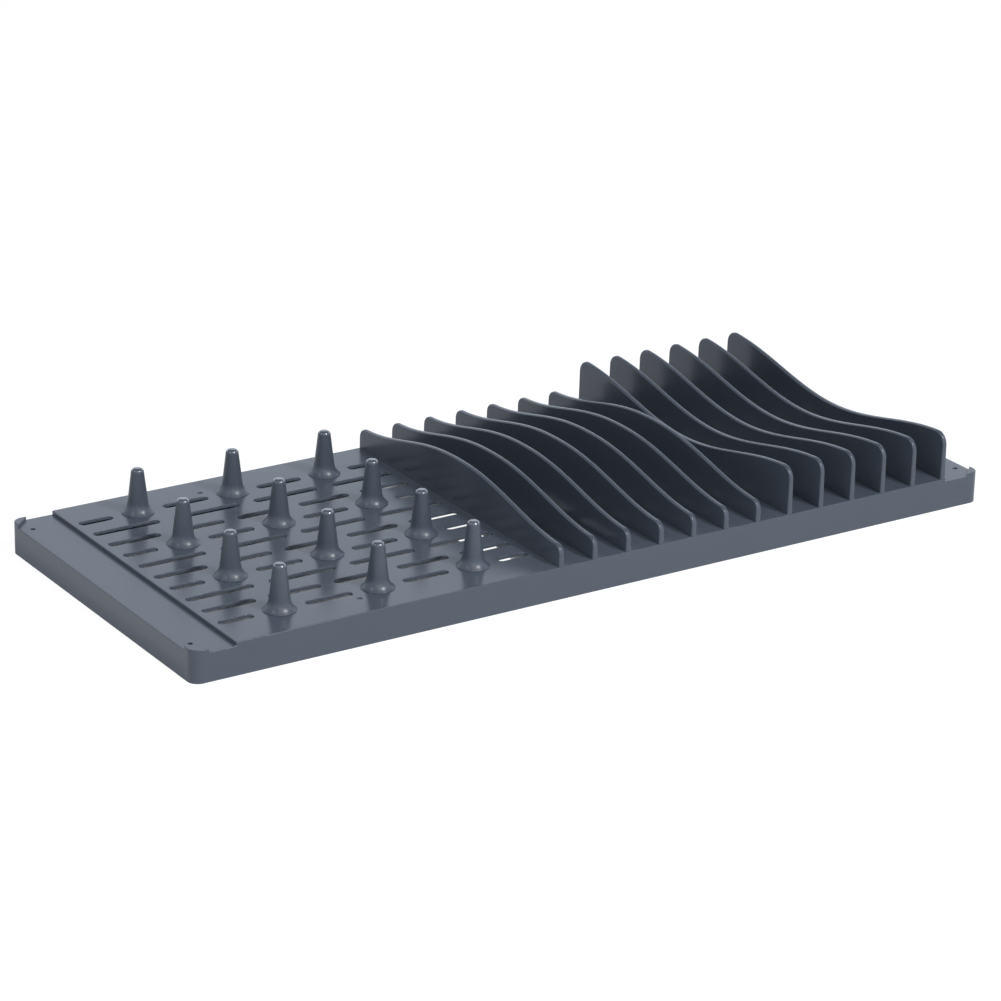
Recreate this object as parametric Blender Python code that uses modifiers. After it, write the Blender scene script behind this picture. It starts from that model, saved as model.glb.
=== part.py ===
"""Dish rack: a slotted plastic tray that holds cups on pegs and plates between wavy fins.

Metres, +Z up. X runs along the tray, with the cup pegs towards -X and the plate fins
towards +X. The front is at -Y. The origin is on the surface that the tray stands on,
under the middle of the tray. The tray is a thin moulded shell, open below: a skirt all
round, a raised deck with drain slots, and a lower ledge at each end. Fins and pegs are
pieces of their own. Each fin drops three tenons into the deck, each peg one hollow spigot.
"""

import math

import bmesh
import bpy
from mathutils import Matrix

# Tray shell
TRAY_LENGTH = 0.588
TRAY_DEPTH = 0.240
DECK_HEIGHT = 0.0215
DECK_SKIN = 0.0018
SKIRT_WALL = 0.0020
CORNER_RADIUS = 0.0070
EDGE_RADIUS = 0.0010
LEDGE_WIDTH = 0.0290
LEDGE_STEP = 0.0025
TAB_LEG = 0.0112
TAB_DROP = 0.0003
PIN_HOLE_RADIUS = 0.0016
PIN_HOLE_FROM_END = 0.0074
PIN_HOLE_FROM_SIDE = 0.0168
GATE_MARK_RADIUS = 0.0016
GATE_MARK_DEPTH = 0.0004
GATE_MARK_OFFSET = 0.0185
GATE_MARK_FROM_SIDE = 0.0199

# Drain slots under the cups, in rows that run along the tray
SLOT_WIDTH = 0.0060
SLOT_MARGIN = 0.0042
PEG_CLEAR_HALF = 0.0180
MIDDLE_SLOT_COUNT = 5
MIDDLE_SLOT_BRIDGE = 0.0091
LONG_SLOT_COUNT = 4
LONG_SLOT_BRIDGE = 0.0110

# Drain slots between the fins, in files that run front to back
FIN_SLOT_WIDTH = 0.0100
FIN_SLOT_COUNT = 4
FIN_SLOT_BRIDGE = 0.0120
FIN_SLOT_FROM_SIDE = 0.0270

# Plate fins, spread evenly over the deck beyond the cups
FIN_COUNT = 13
HUMP_FIN_COUNT = 7
FIN_THICKNESS = 0.0040
FIN_DRAFT = math.radians(0.9)
HUMP_LOW = 0.0137
HUMP_HIGH = 0.0315
DIP_LOW = 0.0146
DIP_HIGH = 0.0317
WAVE_POWER = 1.1
HUMP_CORNER_RADIUS = 0.0062
DIP_CORNER_RADIUS = 0.0085
FIN_EDGE_RADIUS = 0.0009
FIN_END_MARGIN = 0.0003
TENON_COUNT = 3
TENON_LENGTH = 0.0240
TENON_THICKNESS = 0.0016
TENON_FROM_SIDE = 0.0340

# Cup pegs, in as many rows as the tray's depth has room for
PEG_COLUMNS = 3
PEG_COLUMN_PITCH = 0.0681
PEG_FROM_DECK_END = 0.0458
PEG_FROM_FIRST_FIN = 0.0440
PEG_ROW_PITCH = 0.0603
PEG_LEAST_FROM_SIDE = 0.0220
PEG_HEIGHT = 0.0296
PEG_FOOT_RADIUS = 0.0106
PEG_FOOT_EDGE = 0.0004
PEG_FLARE_HEIGHT = 0.0085
PEG_SHAFT_RADIUS = 0.0064
PEG_TIP_RADIUS = 0.0042
PEG_TIP_ROUNDING = 0.0027
PEG_SPIGOT_RADIUS = 0.0046
PEG_BORE_RADIUS = 0.0030
PEG_BORE_TOP_RADIUS = 0.0018
PEG_BORE_HEIGHT = 0.0225

# Fits and cutting
SEAT_GAP = 0.0003
CUT_OVERRUN = 0.0040
WELD_DISTANCE = 0.00001

# Fineness of round shapes
CORNER_STEPS = 6
SLOT_END_STEPS = 4
HOLE_STEPS = 12
FIN_CORNER_STEPS = 4
FIN_WAVE_STEPS = 20
PEG_TURN_STEPS = 14
PEG_FLARE_STEPS = 4
PEG_TIP_STEPS = 3
EDGE_STEPS = 2
FIN_EDGE_STEPS = 1
ROUND_PROFILE_SHARE = 0.5
SHARP_ANGLE = math.radians(40.0)

# Places that follow from the sizes
LEDGE_HEIGHT = DECK_HEIGHT - LEDGE_STEP
TAB_TOP = DECK_HEIGHT - TAB_DROP
DECK_UNDERSIDE = DECK_HEIGHT - DECK_SKIN
DECK_HALF_LENGTH = TRAY_LENGTH / 2 - LEDGE_WIDTH
SEAT_HEIGHT = DECK_HEIGHT + SEAT_GAP
PEG_GRID_LENGTH = PEG_COLUMN_PITCH * (PEG_COLUMNS - 1)
PEG_GRID_X = PEG_FROM_DECK_END + PEG_GRID_LENGTH / 2 - DECK_HALF_LENGTH
CUP_ZONE_LENGTH = PEG_FROM_DECK_END + PEG_GRID_LENGTH + PEG_FROM_FIRST_FIN
PEG_ROWS = int((TRAY_DEPTH - PEG_LEAST_FROM_SIDE * 2) / PEG_ROW_PITCH) + 1
SLOT_ZONE_START = SLOT_MARGIN - DECK_HALF_LENGTH
SLOT_ZONE_END = SLOT_ZONE_START + CUP_ZONE_LENGTH - SLOT_MARGIN * 2
FIRST_FIN_X = CUP_ZONE_LENGTH + FIN_THICKNESS / 2 - DECK_HALF_LENGTH
LAST_FIN_X = DECK_HALF_LENGTH - FIN_END_MARGIN - FIN_THICKNESS / 2
FIN_PITCH = (LAST_FIN_X - FIRST_FIN_X) / (FIN_COUNT - 1)
TENON_SPACING = (TRAY_DEPTH - TENON_FROM_SIDE * 2) / (TENON_COUNT - 1)

TRAY_COLOUR = (0.105, 0.118, 0.140, 1.0)
FIN_COLOUR = (0.095, 0.107, 0.128, 1.0)
PEG_COLOUR = (0.098, 0.110, 0.131, 1.0)
PLASTIC_ROUGHNESS = 0.52


def clear_scene():
    """Remove every object, so that the rack is built into an empty scene."""
    for obj in list(bpy.data.objects):
        bpy.data.objects.remove(obj, do_unlink=True)


def new_collection(name):
    """Add a collection to the scene."""
    collection = bpy.data.collections.new(name)
    bpy.context.scene.collection.children.link(collection)
    return collection


def plastic(name, colour):
    """Matt moulded plastic of one colour."""
    material = bpy.data.materials.new(name)
    material.use_nodes = True
    shader = material.node_tree.nodes["Principled BSDF"]
    shader.inputs["Base Color"].default_value = colour
    shader.inputs["Roughness"].default_value = PLASTIC_ROUGHNESS
    shader.inputs["Metallic"].default_value = 0.0
    return material


def evaluated_mesh(obj):
    """Mesh of an object as its modifiers leave it, in world space."""
    bpy.context.view_layer.update()
    depsgraph = bpy.context.evaluated_depsgraph_get()
    mesh = bpy.data.meshes.new_from_object(obj.evaluated_get(depsgraph))
    mesh.transform(obj.matrix_world)
    return mesh


def add_object(name, mesh, collection, material=None):
    """Put a mesh into a collection as an object."""
    obj = bpy.data.objects.new(name, mesh)
    if material is not None:
        mesh.materials.clear()
        mesh.materials.append(material)
    collection.objects.link(obj)
    return obj


def add_cutter(name, mesh, cutters):
    """Put a mesh into the cutters' collection, out of the finished part."""
    obj = add_object(name, mesh, cutters)
    obj.hide_render = True
    obj.display_type = "WIRE"
    return obj


def arc(centre, radius, start, end, steps):
    """Points on an arc about a centre, both ends included."""
    points = []
    for step in range(steps + 1):
        angle = start + (end - start) * step / steps
        points.append((centre[0] + radius * math.cos(angle), centre[1] + radius * math.sin(angle)))
    return points


def rounded_rectangle(half_length, half_depth, radius):
    """Outline of a rectangle with round corners, about the origin."""
    points = []
    for turn, (side_x, side_y) in enumerate(((1, 1), (-1, 1), (-1, -1), (1, -1))):
        centre = (side_x * (half_length - radius), side_y * (half_depth - radius))
        start = turn * math.pi / 2
        points += arc(centre, radius, start, start + math.pi / 2, CORNER_STEPS)
    return points


def rectangle(x_low, x_high, y_low, y_high):
    """Outline of a plain rectangle."""
    return [(x_low, y_low), (x_high, y_low), (x_high, y_high), (x_low, y_high)]


def slot_along_x(x_low, x_high, y):
    """Outline of a drain slot with round ends, lying along X."""
    radius = SLOT_WIDTH / 2
    right = arc((x_high - radius, y), radius, -math.pi / 2, math.pi / 2, SLOT_END_STEPS)
    left = arc((x_low + radius, y), radius, math.pi / 2, math.pi * 3 / 2, SLOT_END_STEPS)
    return right + left


def slot_along_y(x, y_low, y_high):
    """Outline of a drain slot with round ends, lying along Y."""
    radius = FIN_SLOT_WIDTH / 2
    rear = arc((x, y_high - radius), radius, 0.0, math.pi, SLOT_END_STEPS)
    front = arc((x, y_low + radius), radius, math.pi, math.pi * 2, SLOT_END_STEPS)
    return rear + front


def circle(x, y, radius):
    """Outline of a round hole."""
    return arc((x, y), radius, 0.0, math.pi * 2, HOLE_STEPS)[:-1]


def prism_mesh(name, outlines, bottom, top):
    """Closed prisms over flat outlines, between two heights, each cap one face."""
    curve = bpy.data.curves.new(name, "CURVE")
    curve.dimensions = "2D"
    curve.fill_mode = "BOTH"
    curve.extrude = (top - bottom) / 2
    for outline in outlines:
        spline = curve.splines.new("POLY")
        spline.points.add(len(outline) - 1)
        for point, (x, y) in zip(spline.points, outline):
            point.co = (x, y, 0.0, 1.0)
        spline.use_cyclic_u = True
    guide = bpy.data.objects.new(name, curve)
    guide.location.z = (top + bottom) / 2
    bpy.context.scene.collection.objects.link(guide)
    mesh = evaluated_mesh(guide)
    bpy.data.objects.remove(guide, do_unlink=True)
    shape = bmesh.new()
    shape.from_mesh(mesh)
    bmesh.ops.remove_doubles(shape, verts=shape.verts, dist=WELD_DISTANCE)
    caps = [face for face in shape.faces if abs(face.normal.z) > math.cos(SHARP_ANGLE)]
    bmesh.ops.dissolve_faces(shape, faces=caps)
    bmesh.ops.recalc_face_normals(shape, faces=shape.faces)
    shape.to_mesh(mesh)
    shape.free()
    return mesh


def boolean(obj, tool, operation):
    """Cut an object with a tool, or join the tool to it."""
    modifier = obj.modifiers.new(f"{operation.lower()}_{tool.name}", "BOOLEAN")
    modifier.operation = operation
    modifier.solver = "EXACT"
    modifier.object = tool


def shade(mesh):
    """Shade a mesh smooth, with its sharp edges kept."""
    mesh.shade_smooth()
    mesh.set_sharp_from_angle(angle=SHARP_ANGLE)


def peg_places():
    """Centres of the cup pegs, front row first, each row from left to right."""
    places = []
    for row in range(PEG_ROWS):
        for column in range(PEG_COLUMNS):
            x = PEG_GRID_X + PEG_COLUMN_PITCH * (column - (PEG_COLUMNS - 1) / 2)
            y = PEG_ROW_PITCH * (row - (PEG_ROWS - 1) / 2)
            places.append((x, y))
    return places


def fin_places():
    """X of each plate fin's middle, from left to right."""
    return [FIRST_FIN_X + FIN_PITCH * index for index in range(FIN_COUNT)]


def tenon_places():
    """Y of each tenon's middle, from front to back."""
    return [TENON_SPACING * (index - (TENON_COUNT - 1) / 2) for index in range(TENON_COUNT)]


def equal_spans(start, end, count, bridge):
    """Split a length into equal spans with bridges of solid deck between them."""
    length = (end - start - bridge * (count - 1)) / count
    return [(start + index * (length + bridge), start + index * (length + bridge) + length)
            for index in range(count)]


def peg_row_spans():
    """Slots of a row that holds pegs: the deck stays whole round each peg."""
    columns = [x for x, y in peg_places()[:PEG_COLUMNS]]
    starts = [SLOT_ZONE_START] + [x + PEG_CLEAR_HALF for x in columns]
    ends = [x - PEG_CLEAR_HALF for x in columns] + [SLOT_ZONE_END]
    return list(zip(starts, ends))


def cup_slot_outlines():
    """All the slots under the cups: a row that holds pegs, then middling slots, then long ones."""
    patterns = (
        peg_row_spans(),
        equal_spans(SLOT_ZONE_START, SLOT_ZONE_END, MIDDLE_SLOT_COUNT, MIDDLE_SLOT_BRIDGE),
        equal_spans(SLOT_ZONE_START, SLOT_ZONE_END, LONG_SLOT_COUNT, LONG_SLOT_BRIDGE),
    )
    row_count = (PEG_ROWS - 1) * len(patterns) + 1
    row_pitch = PEG_ROW_PITCH / len(patterns)
    outlines = []
    for row in range(row_count):
        y = row_pitch * (row - (row_count - 1) / 2)
        for x_low, x_high in patterns[row % len(patterns)]:
            outlines.append(slot_along_x(x_low, x_high, y))
    return outlines


def fin_slot_outlines():
    """The slots between the fins, in one file for each gap."""
    reach = TRAY_DEPTH / 2 - FIN_SLOT_FROM_SIDE
    outlines = []
    for x in fin_places()[:-1]:
        for y_low, y_high in equal_spans(-reach, reach, FIN_SLOT_COUNT, FIN_SLOT_BRIDGE):
            outlines.append(slot_along_y(x + FIN_PITCH / 2, y_low, y_high))
    return outlines


def mortise_outlines():
    """Slits in the deck for the fins' tenons."""
    half_width = TENON_THICKNESS / 2 + SEAT_GAP
    half_length = TENON_LENGTH / 2 + SEAT_GAP
    outlines = []
    for x in fin_places():
        for y in tenon_places():
            ends = (y - half_length, y + half_length)
            outlines.append(rectangle(x - half_width, x + half_width, *ends))
    return outlines


def ledge_outline(side):
    """Floor of an end ledge, which stops short of the two raised corner tabs."""
    inner = side * DECK_HALF_LENGTH
    outer = side * (TRAY_LENGTH / 2 + CUT_OVERRUN)
    edge = TRAY_DEPTH / 2 + CUT_OVERRUN
    tab_x = side * (TRAY_LENGTH / 2 - TAB_LEG - CUT_OVERRUN)
    tab_y = TRAY_DEPTH / 2 - TAB_LEG - CUT_OVERRUN
    return [(inner, -edge), (tab_x, -edge), (outer, -tab_y), (outer, tab_y), (tab_x, edge), (inner, edge)]


def tab_outlines():
    """Squares over the four corner tabs, reaching a little past each tab's slanting edge."""
    outer_x = TRAY_LENGTH / 2 + CUT_OVERRUN
    outer_y = TRAY_DEPTH / 2 + CUT_OVERRUN
    side = TAB_LEG + CUT_OVERRUN * 3 / 2
    outlines = []
    for side_x in (-1, 1):
        for side_y in (-1, 1):
            spans = (sorted((side_x * (outer_x - side), side_x * outer_x))
                     + sorted((side_y * (outer_y - side), side_y * outer_y)))
            outlines.append(rectangle(*spans))
    return outlines


def build_tray(parts, cutters):
    """The moulded shell: skirt, deck, end ledges with corner tabs, slots and sockets."""
    half_length = TRAY_LENGTH / 2
    half_depth = TRAY_DEPTH / 2
    above = DECK_HEIGHT + CUT_OVERRUN
    footprint = rounded_rectangle(half_length, half_depth, CORNER_RADIUS)
    slab = prism_mesh("tray_slab", [footprint], -CUT_OVERRUN, DECK_HEIGHT)
    tray = add_object("tray_base", slab, parts, plastic("tray_plastic", TRAY_COLOUR))

    def cut(name, outlines, bottom, top):
        boolean(tray, add_cutter(name, prism_mesh(name, outlines, bottom, top), cutters), "DIFFERENCE")

    cut("ledge_floors", [ledge_outline(-1), ledge_outline(1)], LEDGE_HEIGHT, above)
    cut("tab_tops", tab_outlines(), TAB_TOP, above)

    rounding = tray.modifiers.new("edge_rounding", "BEVEL")
    rounding.width = EDGE_RADIUS
    rounding.segments = EDGE_STEPS
    rounding.limit_method = "ANGLE"
    rounding.angle_limit = SHARP_ANGLE

    ground = rectangle(-TRAY_LENGTH, TRAY_LENGTH, -TRAY_DEPTH, TRAY_DEPTH)
    cut("ground", [ground], -CUT_OVERRUN * 2, 0.0)
    inner_length = half_length - SKIRT_WALL
    inner_depth = half_depth - SKIRT_WALL
    inner_radius = CORNER_RADIUS - SKIRT_WALL
    cut("shell_hollow", [rounded_rectangle(inner_length, inner_depth, inner_radius)],
        -CUT_OVERRUN, LEDGE_HEIGHT - DECK_SKIN)
    deck_inner = DECK_HALF_LENGTH - SKIRT_WALL
    cut("deck_hollow", [rectangle(-deck_inner, deck_inner, -inner_depth, inner_depth)],
        -CUT_OVERRUN, DECK_UNDERSIDE)

    below = DECK_UNDERSIDE - CUT_OVERRUN
    cut("cup_slots", cup_slot_outlines(), below, above)
    cut("fin_slots", fin_slot_outlines(), below, above)
    cut("fin_mortises", mortise_outlines(), DECK_UNDERSIDE - SEAT_GAP, above)
    socket_radius = PEG_SPIGOT_RADIUS + SEAT_GAP
    cut("peg_sockets", [circle(x, y, socket_radius) for x, y in peg_places()], below, above)
    pin_x = half_length - PIN_HOLE_FROM_END
    pin_y = half_depth - PIN_HOLE_FROM_SIDE
    pins = [circle(side_x * pin_x, side_y * pin_y, PIN_HOLE_RADIUS)
            for side_x in (-1, 1) for side_y in (-1, 1)]
    cut("pin_holes", pins, LEDGE_HEIGHT - DECK_SKIN - CUT_OVERRUN, above)
    gate_x = PEG_GRID_X - GATE_MARK_OFFSET
    gate_y = half_depth - GATE_MARK_FROM_SIDE
    gates = [circle(gate_x, side * gate_y, GATE_MARK_RADIUS) for side in (-1, 1)]
    cut("gate_marks", gates, DECK_HEIGHT - GATE_MARK_DEPTH, above)
    return tray


def wave_share(y):
    """Share of a fin's wave at y: all of it in the middle, none at the ends."""
    reach_share = abs(y) * 2 / TRAY_DEPTH
    return (1 + math.cos(math.pi * reach_share ** WAVE_POWER)) / 2


def hump_top(y):
    """Height of a hump fin's top over its foot at y."""
    return HUMP_LOW + (HUMP_HIGH - HUMP_LOW) * wave_share(y)


def dip_top(y):
    """Height of a dip fin's top over its foot at y."""
    return DIP_HIGH - (DIP_HIGH - DIP_LOW) * wave_share(y)


def fin_outline(top, radius):
    """Side view of a fin over the deck: straight foot, upright ends and a wavy top."""
    half_depth = TRAY_DEPTH / 2
    shoulder = half_depth - radius
    centre_height = top(shoulder) - radius
    rear = arc((shoulder, centre_height), radius, 0.0, math.pi / 2, FIN_CORNER_STEPS)
    front = arc((-shoulder, centre_height), radius, math.pi / 2, math.pi, FIN_CORNER_STEPS)
    wave = []
    for step in range(1, FIN_WAVE_STEPS):
        y = shoulder - 2 * shoulder * step / FIN_WAVE_STEPS
        wave.append((y, top(y)))
    return [(-half_depth, 0.0), (half_depth, 0.0)] + rear + wave + front


def fin_mesh(name, top, radius, cutters):
    """One fin with its tenons, foot at height zero, middle at the origin, thinner upwards."""
    half_thickness = FIN_THICKNESS / 2
    plate = prism_mesh(name, [fin_outline(top, radius)], -half_thickness, half_thickness)
    shape = bmesh.new()
    shape.from_mesh(plate)
    rim = [edge for edge in shape.edges
           if len(edge.link_faces) == 2
           and edge.calc_face_angle() > SHARP_ANGLE
           and max(vert.co.y for vert in edge.verts) > FIN_EDGE_RADIUS
           and abs(edge.verts[0].co.z - edge.verts[1].co.z) < WELD_DISTANCE]
    for vert in shape.verts:
        vert.co.z -= math.copysign(vert.co.y * math.tan(FIN_DRAFT), vert.co.z)
    bmesh.ops.bevel(shape, geom=rim, offset=FIN_EDGE_RADIUS, segments=FIN_EDGE_STEPS, affect="EDGES",
                    profile=ROUND_PROFILE_SHARE, clamp_overlap=True)
    shape.to_mesh(plate)
    shape.free()
    # The side view was drawn flat: its x goes to Y, its y to Z and its thickness to X.
    plate.transform(Matrix(((0, 0, 1, 0), (1, 0, 0, 0), (0, 1, 0, 0), (0, 0, 0, 1))))
    guide = add_object(f"{name}_plate", plate, cutters)
    half_length = TENON_LENGTH / 2
    half_tenon = TENON_THICKNESS / 2
    outlines = [rectangle(-half_tenon, half_tenon, y - half_length, y + half_length)
                for y in tenon_places()]
    tenons = prism_mesh(f"{name}_tenons", outlines, -SEAT_GAP - DECK_SKIN, HUMP_LOW / 2)
    boolean(guide, add_cutter(f"{name}_tenons", tenons, cutters), "UNION")
    mesh = evaluated_mesh(guide)
    bpy.data.objects.remove(guide, do_unlink=True)
    shade(mesh)
    return mesh


def build_fins(parts, cutters):
    """Hump fins next to the pegs, then dip fins out to the far end of the deck."""
    material = plastic("fin_plastic", FIN_COLOUR)
    hump = fin_mesh("hump_fin", hump_top, HUMP_CORNER_RADIUS, cutters)
    dip = fin_mesh("dip_fin", dip_top, DIP_CORNER_RADIUS, cutters)
    for index, x in enumerate(fin_places()):
        mesh = hump if index < HUMP_FIN_COUNT else dip
        fin = add_object(f"plate_fin_{index + 1:02d}", mesh, parts, material)
        fin.location = (x, 0.0, SEAT_HEIGHT)


def peg_profile():
    """Half section of a peg from its tip down the outside and up the bore, foot at zero."""
    tip_centre = (PEG_TIP_RADIUS - PEG_TIP_ROUNDING, PEG_HEIGHT - PEG_TIP_ROUNDING)
    points = [(0.0, PEG_HEIGHT)]
    points += arc(tip_centre, PEG_TIP_ROUNDING, math.pi / 2, 0.0, PEG_TIP_STEPS)
    for step in range(PEG_FLARE_STEPS + 1):
        turn = math.pi / 2 * (1 - step / PEG_FLARE_STEPS)
        radius = PEG_FOOT_RADIUS - (PEG_FOOT_RADIUS - PEG_SHAFT_RADIUS) * math.sin(turn)
        height = PEG_FOOT_EDGE + (PEG_FLARE_HEIGHT - PEG_FOOT_EDGE) * (1 - math.cos(turn))
        points.append((radius, height))
    spigot_end = -SEAT_GAP - DECK_SKIN
    points += [
        (PEG_FOOT_RADIUS, 0.0),
        (PEG_SPIGOT_RADIUS, 0.0),
        (PEG_SPIGOT_RADIUS, spigot_end),
        (PEG_BORE_RADIUS, spigot_end),
        (PEG_BORE_TOP_RADIUS, PEG_BORE_HEIGHT),
        (0.0, PEG_BORE_HEIGHT),
    ]
    return points


def peg_mesh():
    """One turned peg, hollow from below."""
    profile = peg_profile()
    mesh = bpy.data.meshes.new("cup_peg")
    edges = [(index, index + 1) for index in range(len(profile) - 1)]
    mesh.from_pydata([(radius, 0.0, height) for radius, height in profile], edges, [])
    guide = bpy.data.objects.new("cup_peg_profile", mesh)
    bpy.context.scene.collection.objects.link(guide)
    turn = guide.modifiers.new("turn", "SCREW")
    turn.axis = "Z"
    turn.angle = math.tau
    turn.steps = PEG_TURN_STEPS
    turn.render_steps = PEG_TURN_STEPS
    turn.use_merge_vertices = True
    turn.merge_threshold = WELD_DISTANCE
    solid = evaluated_mesh(guide)
    bpy.data.objects.remove(guide, do_unlink=True)
    shade(solid)
    return solid


def build_pegs(parts):
    """Twelve pegs that stand in the deck's sockets."""
    material = plastic("peg_plastic", PEG_COLOUR)
    mesh = peg_mesh()
    for index, (x, y) in enumerate(peg_places()):
        peg = add_object(f"cup_peg_{index + 1:02d}", mesh, parts, material)
        peg.location = (x, y, SEAT_HEIGHT)


def main():
    """Build the whole rack."""
    clear_scene()
    parts = new_collection("dish_rack")
    cutters = new_collection("dish_rack_cutters")
    build_tray(parts, cutters)
    build_fins(parts, cutters)
    build_pegs(parts)


main()
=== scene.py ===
"""Dish rack in its studio: a slotted slate tray with wavy plate fins and flared cup pegs.

Metres, +Z up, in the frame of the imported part: the origin is on the surface that the tray
stands on, under its middle. X runs from the cup pegs to the plate fins, the front is at -Y.
"""

import logging
import math
from dataclasses import dataclass, field
from enum import Enum

import bmesh
import bpy
from mathutils import Euler, Matrix, Vector
from mathutils.geometry import delaunay_2d_cdt


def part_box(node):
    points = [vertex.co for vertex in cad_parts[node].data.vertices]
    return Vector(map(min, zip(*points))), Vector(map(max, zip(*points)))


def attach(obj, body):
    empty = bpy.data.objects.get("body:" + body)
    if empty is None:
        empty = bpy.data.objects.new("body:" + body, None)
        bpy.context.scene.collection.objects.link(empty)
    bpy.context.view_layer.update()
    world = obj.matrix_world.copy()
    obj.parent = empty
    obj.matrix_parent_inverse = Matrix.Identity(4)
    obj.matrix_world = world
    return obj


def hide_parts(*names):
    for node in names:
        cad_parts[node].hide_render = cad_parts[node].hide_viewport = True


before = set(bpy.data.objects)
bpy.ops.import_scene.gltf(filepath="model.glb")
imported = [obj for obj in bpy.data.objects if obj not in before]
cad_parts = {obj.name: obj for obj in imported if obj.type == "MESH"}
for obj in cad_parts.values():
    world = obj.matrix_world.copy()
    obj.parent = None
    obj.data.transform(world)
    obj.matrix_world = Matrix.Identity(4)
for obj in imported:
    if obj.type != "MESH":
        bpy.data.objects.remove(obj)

log = logging.getLogger("dish_rack")

BODY = "root"
PLACE_DIGITS = 5

UNIT_SQUARE_HALF = 0.5
ROUND_PROFILE_SHARE = 0.5
KEEP_MATERIAL = -1
FACE_SIZE_WEIGHT = 80
WELD_DISTANCE = 0.000002
FILL_NEARNESS = 0.0000001
WHOLE_HULL = 0
ROUND_END_MARGIN = 3
LEVEL_SHARE = 0.999
SHARP_ANGLE = math.radians(38.0)
FLAT_ANGLE = math.radians(1.0)
FULL_TURN = math.tau
QUARTER_TURN = math.pi / 2
ALONG = Vector((1.0, 0.0, 0.0))
BACK = Vector((0.0, 1.0, 0.0))
UP = Vector((0.0, 0.0, 1.0))
PLAN_TO_SIDE_VIEW = Matrix(((0, 0, 1, 0), (1, 0, 0, 0), (0, 1, 0, 0), (0, 0, 0, 1)))

NOISE_MIDDLE = 0.5
BLACK = (0.0, 0.0, 0.0, 1.0)
WHITE = (1.0, 1.0, 1.0, 1.0)
TRAY_SLATE = (0.086, 0.104, 0.139)
FIN_SLATE = (0.080, 0.097, 0.130)
PEG_SLATE = (0.084, 0.101, 0.135)


class FinShape(Enum):
    """The two side views of a plate fin."""

    HUMP = "hump"
    DIP = "dip"


class Grain(Enum):
    """Kinds of pattern node that break up a moulded surface."""

    CLOUDS = "ShaderNodeTexNoise"
    CELLS = "ShaderNodeTexVoronoi"


class Signal:
    """One shader socket, so that sums on it can be written as sums."""

    def __init__(self, bench: "NodeBench", socket: bpy.types.NodeSocket) -> None:
        """Keep the socket and the bench that it belongs to."""
        self.bench = bench
        self.socket = socket

    def joined(self, operation: str, first: "Signal | float",
               second: "Signal | float") -> "Signal":
        """Add one Math node.

        Args:
            operation: the Math node's operation.
            first: the upper value.
            second: the lower value.

        Returns:
            The node's result.
        """
        return self.bench.add("ShaderNodeMath", {"operation": operation}, {0: first, 1: second})

    def __add__(self, other: "Signal | float") -> "Signal":
        """self + other."""
        return self.joined("ADD", self, other)

    def __radd__(self, other: float) -> "Signal":
        """other + self."""
        return self.joined("ADD", other, self)

    def __sub__(self, other: "Signal | float") -> "Signal":
        """self - other."""
        return self.joined("SUBTRACT", self, other)

    def __rsub__(self, other: float) -> "Signal":
        """other - self."""
        return self.joined("SUBTRACT", other, self)

    def __mul__(self, other: "Signal | float") -> "Signal":
        """self * other."""
        return self.joined("MULTIPLY", self, other)

    def __rmul__(self, other: float) -> "Signal":
        """other * self."""
        return self.joined("MULTIPLY", other, self)


class NodeBench:
    """Adds nodes to one material or world and links them."""

    def __init__(self, tree: bpy.types.NodeTree) -> None:
        """Start with an empty node tree."""
        self.tree = tree
        tree.nodes.clear()

    def set_stops(self, ramp: bpy.types.ColorRamp, stops: tuple) -> None:
        """Set a new ramp's stops.

        Args:
            ramp: the ramp, which starts with two stops.
            stops: place and colour of each stop, from left to right.
        """
        while len(ramp.elements) < len(stops):
            ramp.elements.new(1.0)
        for element, (place, colour) in zip(ramp.elements, stops):
            element.position = place
            element.color = colour

    def add(self, kind: str, settings: dict, sockets: dict, output: int | str = 0) -> Signal:
        """Add any node.

        Args:
            kind: the node's type.
            settings: its properties, or a ramp's stops, set before its sockets.
            sockets: a value or a Signal for each named or numbered input.
            output: the output that the Signal stands for.

        Returns:
            The chosen output.
        """
        node = self.tree.nodes.new(kind)
        for name, value in settings.items():
            if name == "stops":
                self.set_stops(node.color_ramp, value)
            else:
                setattr(node, name, value)
        for key, value in sockets.items():
            if isinstance(value, Signal):
                self.tree.links.new(value.socket, node.inputs[key])
            else:
                node.inputs[key].default_value = value
        return Signal(self, node.outputs[output])

    def finish(self, kind: str, surface: Signal) -> None:
        """Link a shader to the output node of a material or world."""
        node = self.tree.nodes.new(kind)
        self.tree.links.new(surface.socket, node.inputs["Surface"])


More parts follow.
